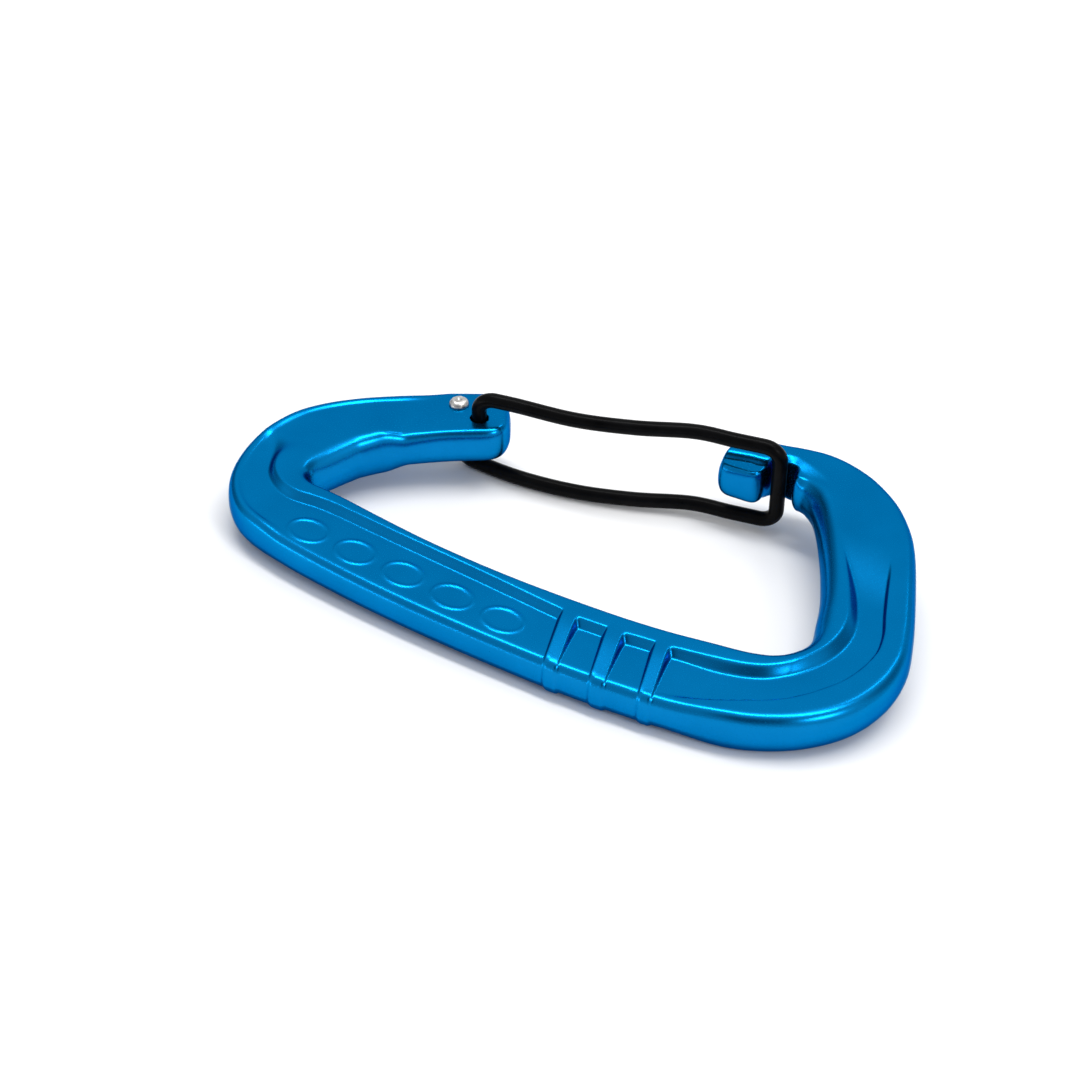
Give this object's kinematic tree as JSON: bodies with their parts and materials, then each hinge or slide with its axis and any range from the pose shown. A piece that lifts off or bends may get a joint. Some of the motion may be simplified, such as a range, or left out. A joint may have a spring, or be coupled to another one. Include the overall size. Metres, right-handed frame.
{
  "type": "wiregate carabiner",
  "caption": "Offset-D carabiner with a forged, channelled body, grip ribs on its spine and a sprung wire gate that swings inward from the hinge end to a hooked nose.",
  "frame": {"origin": "centre of the whole object's bounding box, at the middle of the body's thickness", "axes": "+X along the length from the small hinge end to the wide rope end; +Y from the spine towards the gate; +Z out of the body's top face"},
  "size_m": [0.1002, 0.0591, 0.0152],
  "materials": {
    "anodised_body": "satin blue anodised",
    "gate_wire": "semi-gloss black",
    "bare_steel": "peened bare steel"
  },
  "bodies": {
    "carabiner_body": {"forged_body": "anodised_body"},
    "gate_upper": {"gate_wire_upper": "gate_wire"},
    "gate_lower": {"gate_wire_lower": "gate_wire"}
  },
  "joints": [
    {"name": "gate_hinge", "type": "hinge", "parent": "carabiner_body", "child": "gate_upper", "pos_m": [-0.0253, 0.0094, 0], "axis": [0, 0, -1], "range_deg": [0, 36], "stiffness_Nm_per_rad": 0.4, "springref_deg": -20.05},
    {"name": "gate_twist", "type": "hinge", "parent": "gate_upper", "child": "gate_lower", "pos_m": [0.017, 0.013, 0], "axis": [0, 0, 1], "range_deg": [0, 3.4]}
  ],
  "couplings": [
    {"joint": "gate_twist", "follows": "gate_hinge", "ratio": 0.094}
  ]
}
